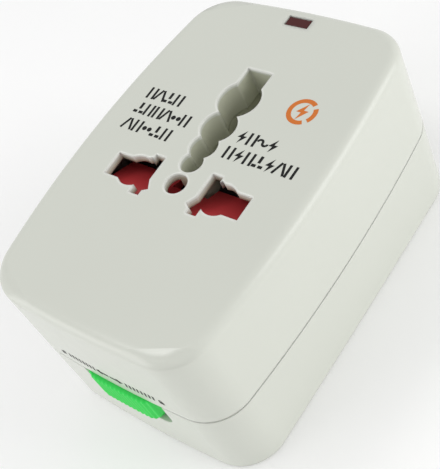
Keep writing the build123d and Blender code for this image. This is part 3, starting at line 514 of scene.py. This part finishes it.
pad = placed("slider_pad", pad_mesh)
green = moulded("green_abs", (0.014, 0.68, 0.075), 0.5, drift=0.04)
green.wear("lock_slider")
pad_mesh.materials.append(green.material)
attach(pad, "lock")
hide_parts("lock_slider")


# Steel parts: screws, pin shafts, lock bar and springs, zinc-plated or drawn, with fine lines
# along the working direction.
def metal(name, colour, roughness, stretch, drift=0.06):
    """Drawn or plated metal: fine lines along the axis of the least stretch, slow stains."""
    line_size, line_depth, stain_size, gloss_swing = 0.3, 0.003, 5.0, 0.06
    made = Finish(name, Metallic=1.0)
    light = tuple(min(1.0, c * (1 + drift)) for c in colour) + (1,)
    dark = tuple(c * (1 - 2 * drift) for c in colour) + (1,)
    lines = made.noise(line_size, stretch=stretch)
    made.feed(Base_Color=made.mix(made.noise(stain_size, detail=4), dark, light))
    made.feed(Roughness=roughness - gloss_swing + 2 * gloss_swing * lines)
    made.relief(lines, line_depth)
    return made


steel = metal("bright_steel", (0.62, 0.63, 0.64), 0.3, stretch=(0.1, 1, 1))
steel.wear("cover_screws", "deck_screws", "pin_pivots")
steel.wear("shutter_spring", "lock_bar", "detent_spring")


# Shutter spring: a coil of spring steel wire that pushes the shutter back. It stands in for the
# stiff coil of the frame.
def coil(name, y_low, y_high, z, turns=8, radius=2.0, wire=0.6, steps=24, sides=8):
    """A round wire carried along a helix.

    Its section turns about the y axis while y grows evenly, and both ends are flat.
    """
    along = np.linspace(0, 1, steps * turns + 1)[:, None]
    around = ((np.arange(sides) + 0.5) * 2 * np.pi / sides)[None, :]
    reach = radius + wire / 2 * np.cos(around)
    turn = 2 * np.pi * turns * along
    y = y_low + wire / 2 + (y_high - y_low - wire) * along + wire / 2 * np.sin(around)
    points = np.stack([reach * np.cos(turn), y, z + reach * np.sin(turn)], 2)
    index = np.arange(points.shape[0] * sides).reshape(-1, sides)
    after = np.roll(index, -1, axis=1)
    walls = np.stack([index[:-1], after[:-1], after[1:], index[1:]], 2).reshape(-1, 4)
    ends = [index[0, ::-1].tolist(), index[-1].tolist()]
    mesh = skin(name, points.reshape(-1, 3), walls.tolist() + ends)
    mesh.shade_smooth()
    return placed(name, mesh)


coil_low, coil_high, coil_level = -29.6, -12.3, 32.35
spring = coil("return_coil", coil_low, coil_high, coil_level)
spring.data.materials.append(steel.material)
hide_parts("shutter_spring")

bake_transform(spring)


# Brass parts: pins, blades, leaves, contacts and fuse clips, stamped or turned from bright brass
# with darker stains.
brass = metal("bright_brass", (0.83, 0.66, 0.33), 0.26, stretch=(1, 0.1, 1))
for side in ("line", "neutral", "earth"):
    brass.wear(f"{side}_contact", f"{side}_leaf", f"{side}_pin")
brass.wear("flat_blades", "fuse_clips")


# Pin sleeves: black nylon, pressed on the waists of the two live pins so that no bare metal
# shows while the plug is half way out.
sleeve = moulded("black_nylon", (0.02, 0.02, 0.022), 0.42, drift=0.1)
sleeve.wear("line_sleeve", "neutral_sleeve")


# Surge board and its parts: green-lacquered glass laminate with tinned lands, a disc in blue
# lacquer, a banded resistor, a glow lamp and two leads in blue vinyl, soldered in.
board = moulded("board_lacquer", (0.02, 0.16, 0.06), 0.35, drift=0.08, Coat_Weight=0.3)
tin = (0.72, 0.70, 0.66, 1)

# Round lands: middle and radius. Four hold the disc and the resistor, two the lamp.
lands = [(x, 28.1, 0.8) for x in (-8.75, -4.25, 2.55, 9.45)]
lands += [(x, 32.2, 0.7) for x in (-2, 2)]
tinned = sum(board.near(*land) for land in lands)
board.feed(Base_Color=board.mix(tinned, board.colour, tin), Metallic=tinned)
board.wear("surge_board")

blue = moulded("blue_lacquer", (0.02, 0.10, 0.38), 0.32, drift=0.1, Coat_Weight=0.3)
blue.wear("varistor")

resistor = moulded("tan_lacquer", (0.62, 0.46, 0.28), 0.4, drift=0.06)
resistor_middle, half_body, half_band = 6.0, 3.16, 0.25

# Bands: offset from the resistor's middle, and paint.
bands = [
    (-1.9, (0.10, 0.03, 0.01, 1)),
    (-0.9, (0.01, 0.01, 0.01, 1)),
    (0.1, (0.75, 0.18, 0.01, 1)),
    (1.9, (0.55, 0.36, 0.08, 1)),
]
for offset, paint in bands:
    on_band = abs(resistor.x - (resistor_middle + offset)) < half_band
    resistor.colour = resistor.mix(on_band, resistor.colour, paint)
bare_wire = abs(resistor.x - resistor_middle) > half_body
resistor.feed(Base_Color=resistor.colour, Metallic=bare_wire)
resistor.wear("resistor")

glass = moulded("lamp_glass", (0.70, 0.36, 0.24), 0.08, grain_depth=0.0005, Coat_Weight=0.6)
glass.wear("lamp")
vinyl = moulded("blue_vinyl", (0.03, 0.14, 0.50), 0.42, drift=0.05)
vinyl.wear("board_leads")


# Fuse: a ceramic tube between two nickel-plated caps, pressed into its two clips beside the
# line pin's bay.
fuse = moulded("fuse_ceramic", (0.78, 0.74, 0.66), 0.4)
nickel, cap_start = (0.66, 0.65, 0.62, 1), 4.99
caps = abs(fuse.y) > cap_start
fuse.feed(Metallic=caps, Base_Color=fuse.mix(caps, fuse.colour, nickel))
fuse.wear("fuse")


# Floor: a wide pale sheet under the object, so matt that it shows only soft shadows. A cut-out
# hidden under the base leaves room for the pins when they unfold.
paper = moulded("pale_sheet", (0.97, 0.97, 0.97), 0.8, grain=1.2, grain_depth=0.002, drift=0.004)
cut_half_width, cut_half_length, cut_radius, steps = 23.0, 35.0, 7.4, 9
floor_level, spread = -0.02, 90
corner = np.array((cut_half_width, cut_half_length)) - cut_radius
quarters = np.repeat([(1, 1), (-1, 1), (-1, -1), (1, -1)], steps, axis=0)
angle = np.radians(np.arange(4)[:, None] * 90 + np.linspace(0, 90, steps)).ravel()
cut_out = corner * quarters + cut_radius * np.stack([np.cos(angle), np.sin(angle)], 1)
flat = np.concatenate([spread * cut_out, cut_out])
outer = np.arange(len(cut_out))
after = np.roll(outer, -1)
ring_faces = np.stack([outer, after, after + len(outer), outer + len(outer)], 1)
levels = np.full(len(flat), floor_level)
sheet = skin("floor", np.column_stack([flat, levels]), ring_faces.tolist())
sheet.materials.append(paper.material)
placed("floor", sheet)


# Light: even pale surroundings and three soft boxes. A large one on the right lights the side
# wall, a large one low in front lights the slider's wall, and a small one high over the left
# side is mirrored in the facet of the nearest corner.
def soft_box(name, place, size, watts, target=(0, 0, 20)):
    """A square light at a place in millimetres that faces a target in the object."""
    lamp = bpy.data.lights.new(name, "AREA")
    lamp.size = size * MM
    lamp.energy = watts
    holder = placed(name, lamp)
    holder.location = Vector(place) * MM
    aim = Vector(target) * MM - holder.location
    holder.rotation_euler = aim.to_track_quat("-Z", "Y").to_euler()


surroundings = 0.725
world = bpy.data.worlds.new("studio")
world.use_nodes = True
world.node_tree.nodes["Background"].inputs["Color"].default_value = (1, 1, 1, 1)
world.node_tree.nodes["Background"].inputs["Strength"].default_value = surroundings
bpy.context.scene.world = world
soft_box("right_box", (390, 230, 170), size=320, watts=0.93)
soft_box("front_box", (-260, -390, 150), size=300, watts=0.56)
soft_box("corner_box", (-208, -84, 456), size=140, watts=0.3)


# Camera: the photograph's viewpoint, above the front right corner, aimed near the middle of the
# housing and rolled so that the long sides lean.
eye = Vector((101.788, -66.308, 153.688)) * MM
aim = Vector((1.2197, -4.428, 20)) * MM
roll = math.radians(-29.868)
lens = bpy.data.cameras.new("camera")
lens.sensor_fit = "VERTICAL"
lens.sensor_height = 36
lens.lens = 76.775
lens.clip_start = 5 * MM
viewer = placed("camera", lens)
level_view = (aim - eye).to_track_quat("-Z", "Y").to_matrix().to_4x4()
viewer.matrix_world = Matrix.Translation(eye) @ level_view @ Matrix.Rotation(roll, 4, "Z")
bpy.context.scene.camera = viewer
bpy.context.scene.view_settings.view_transform = "Standard"
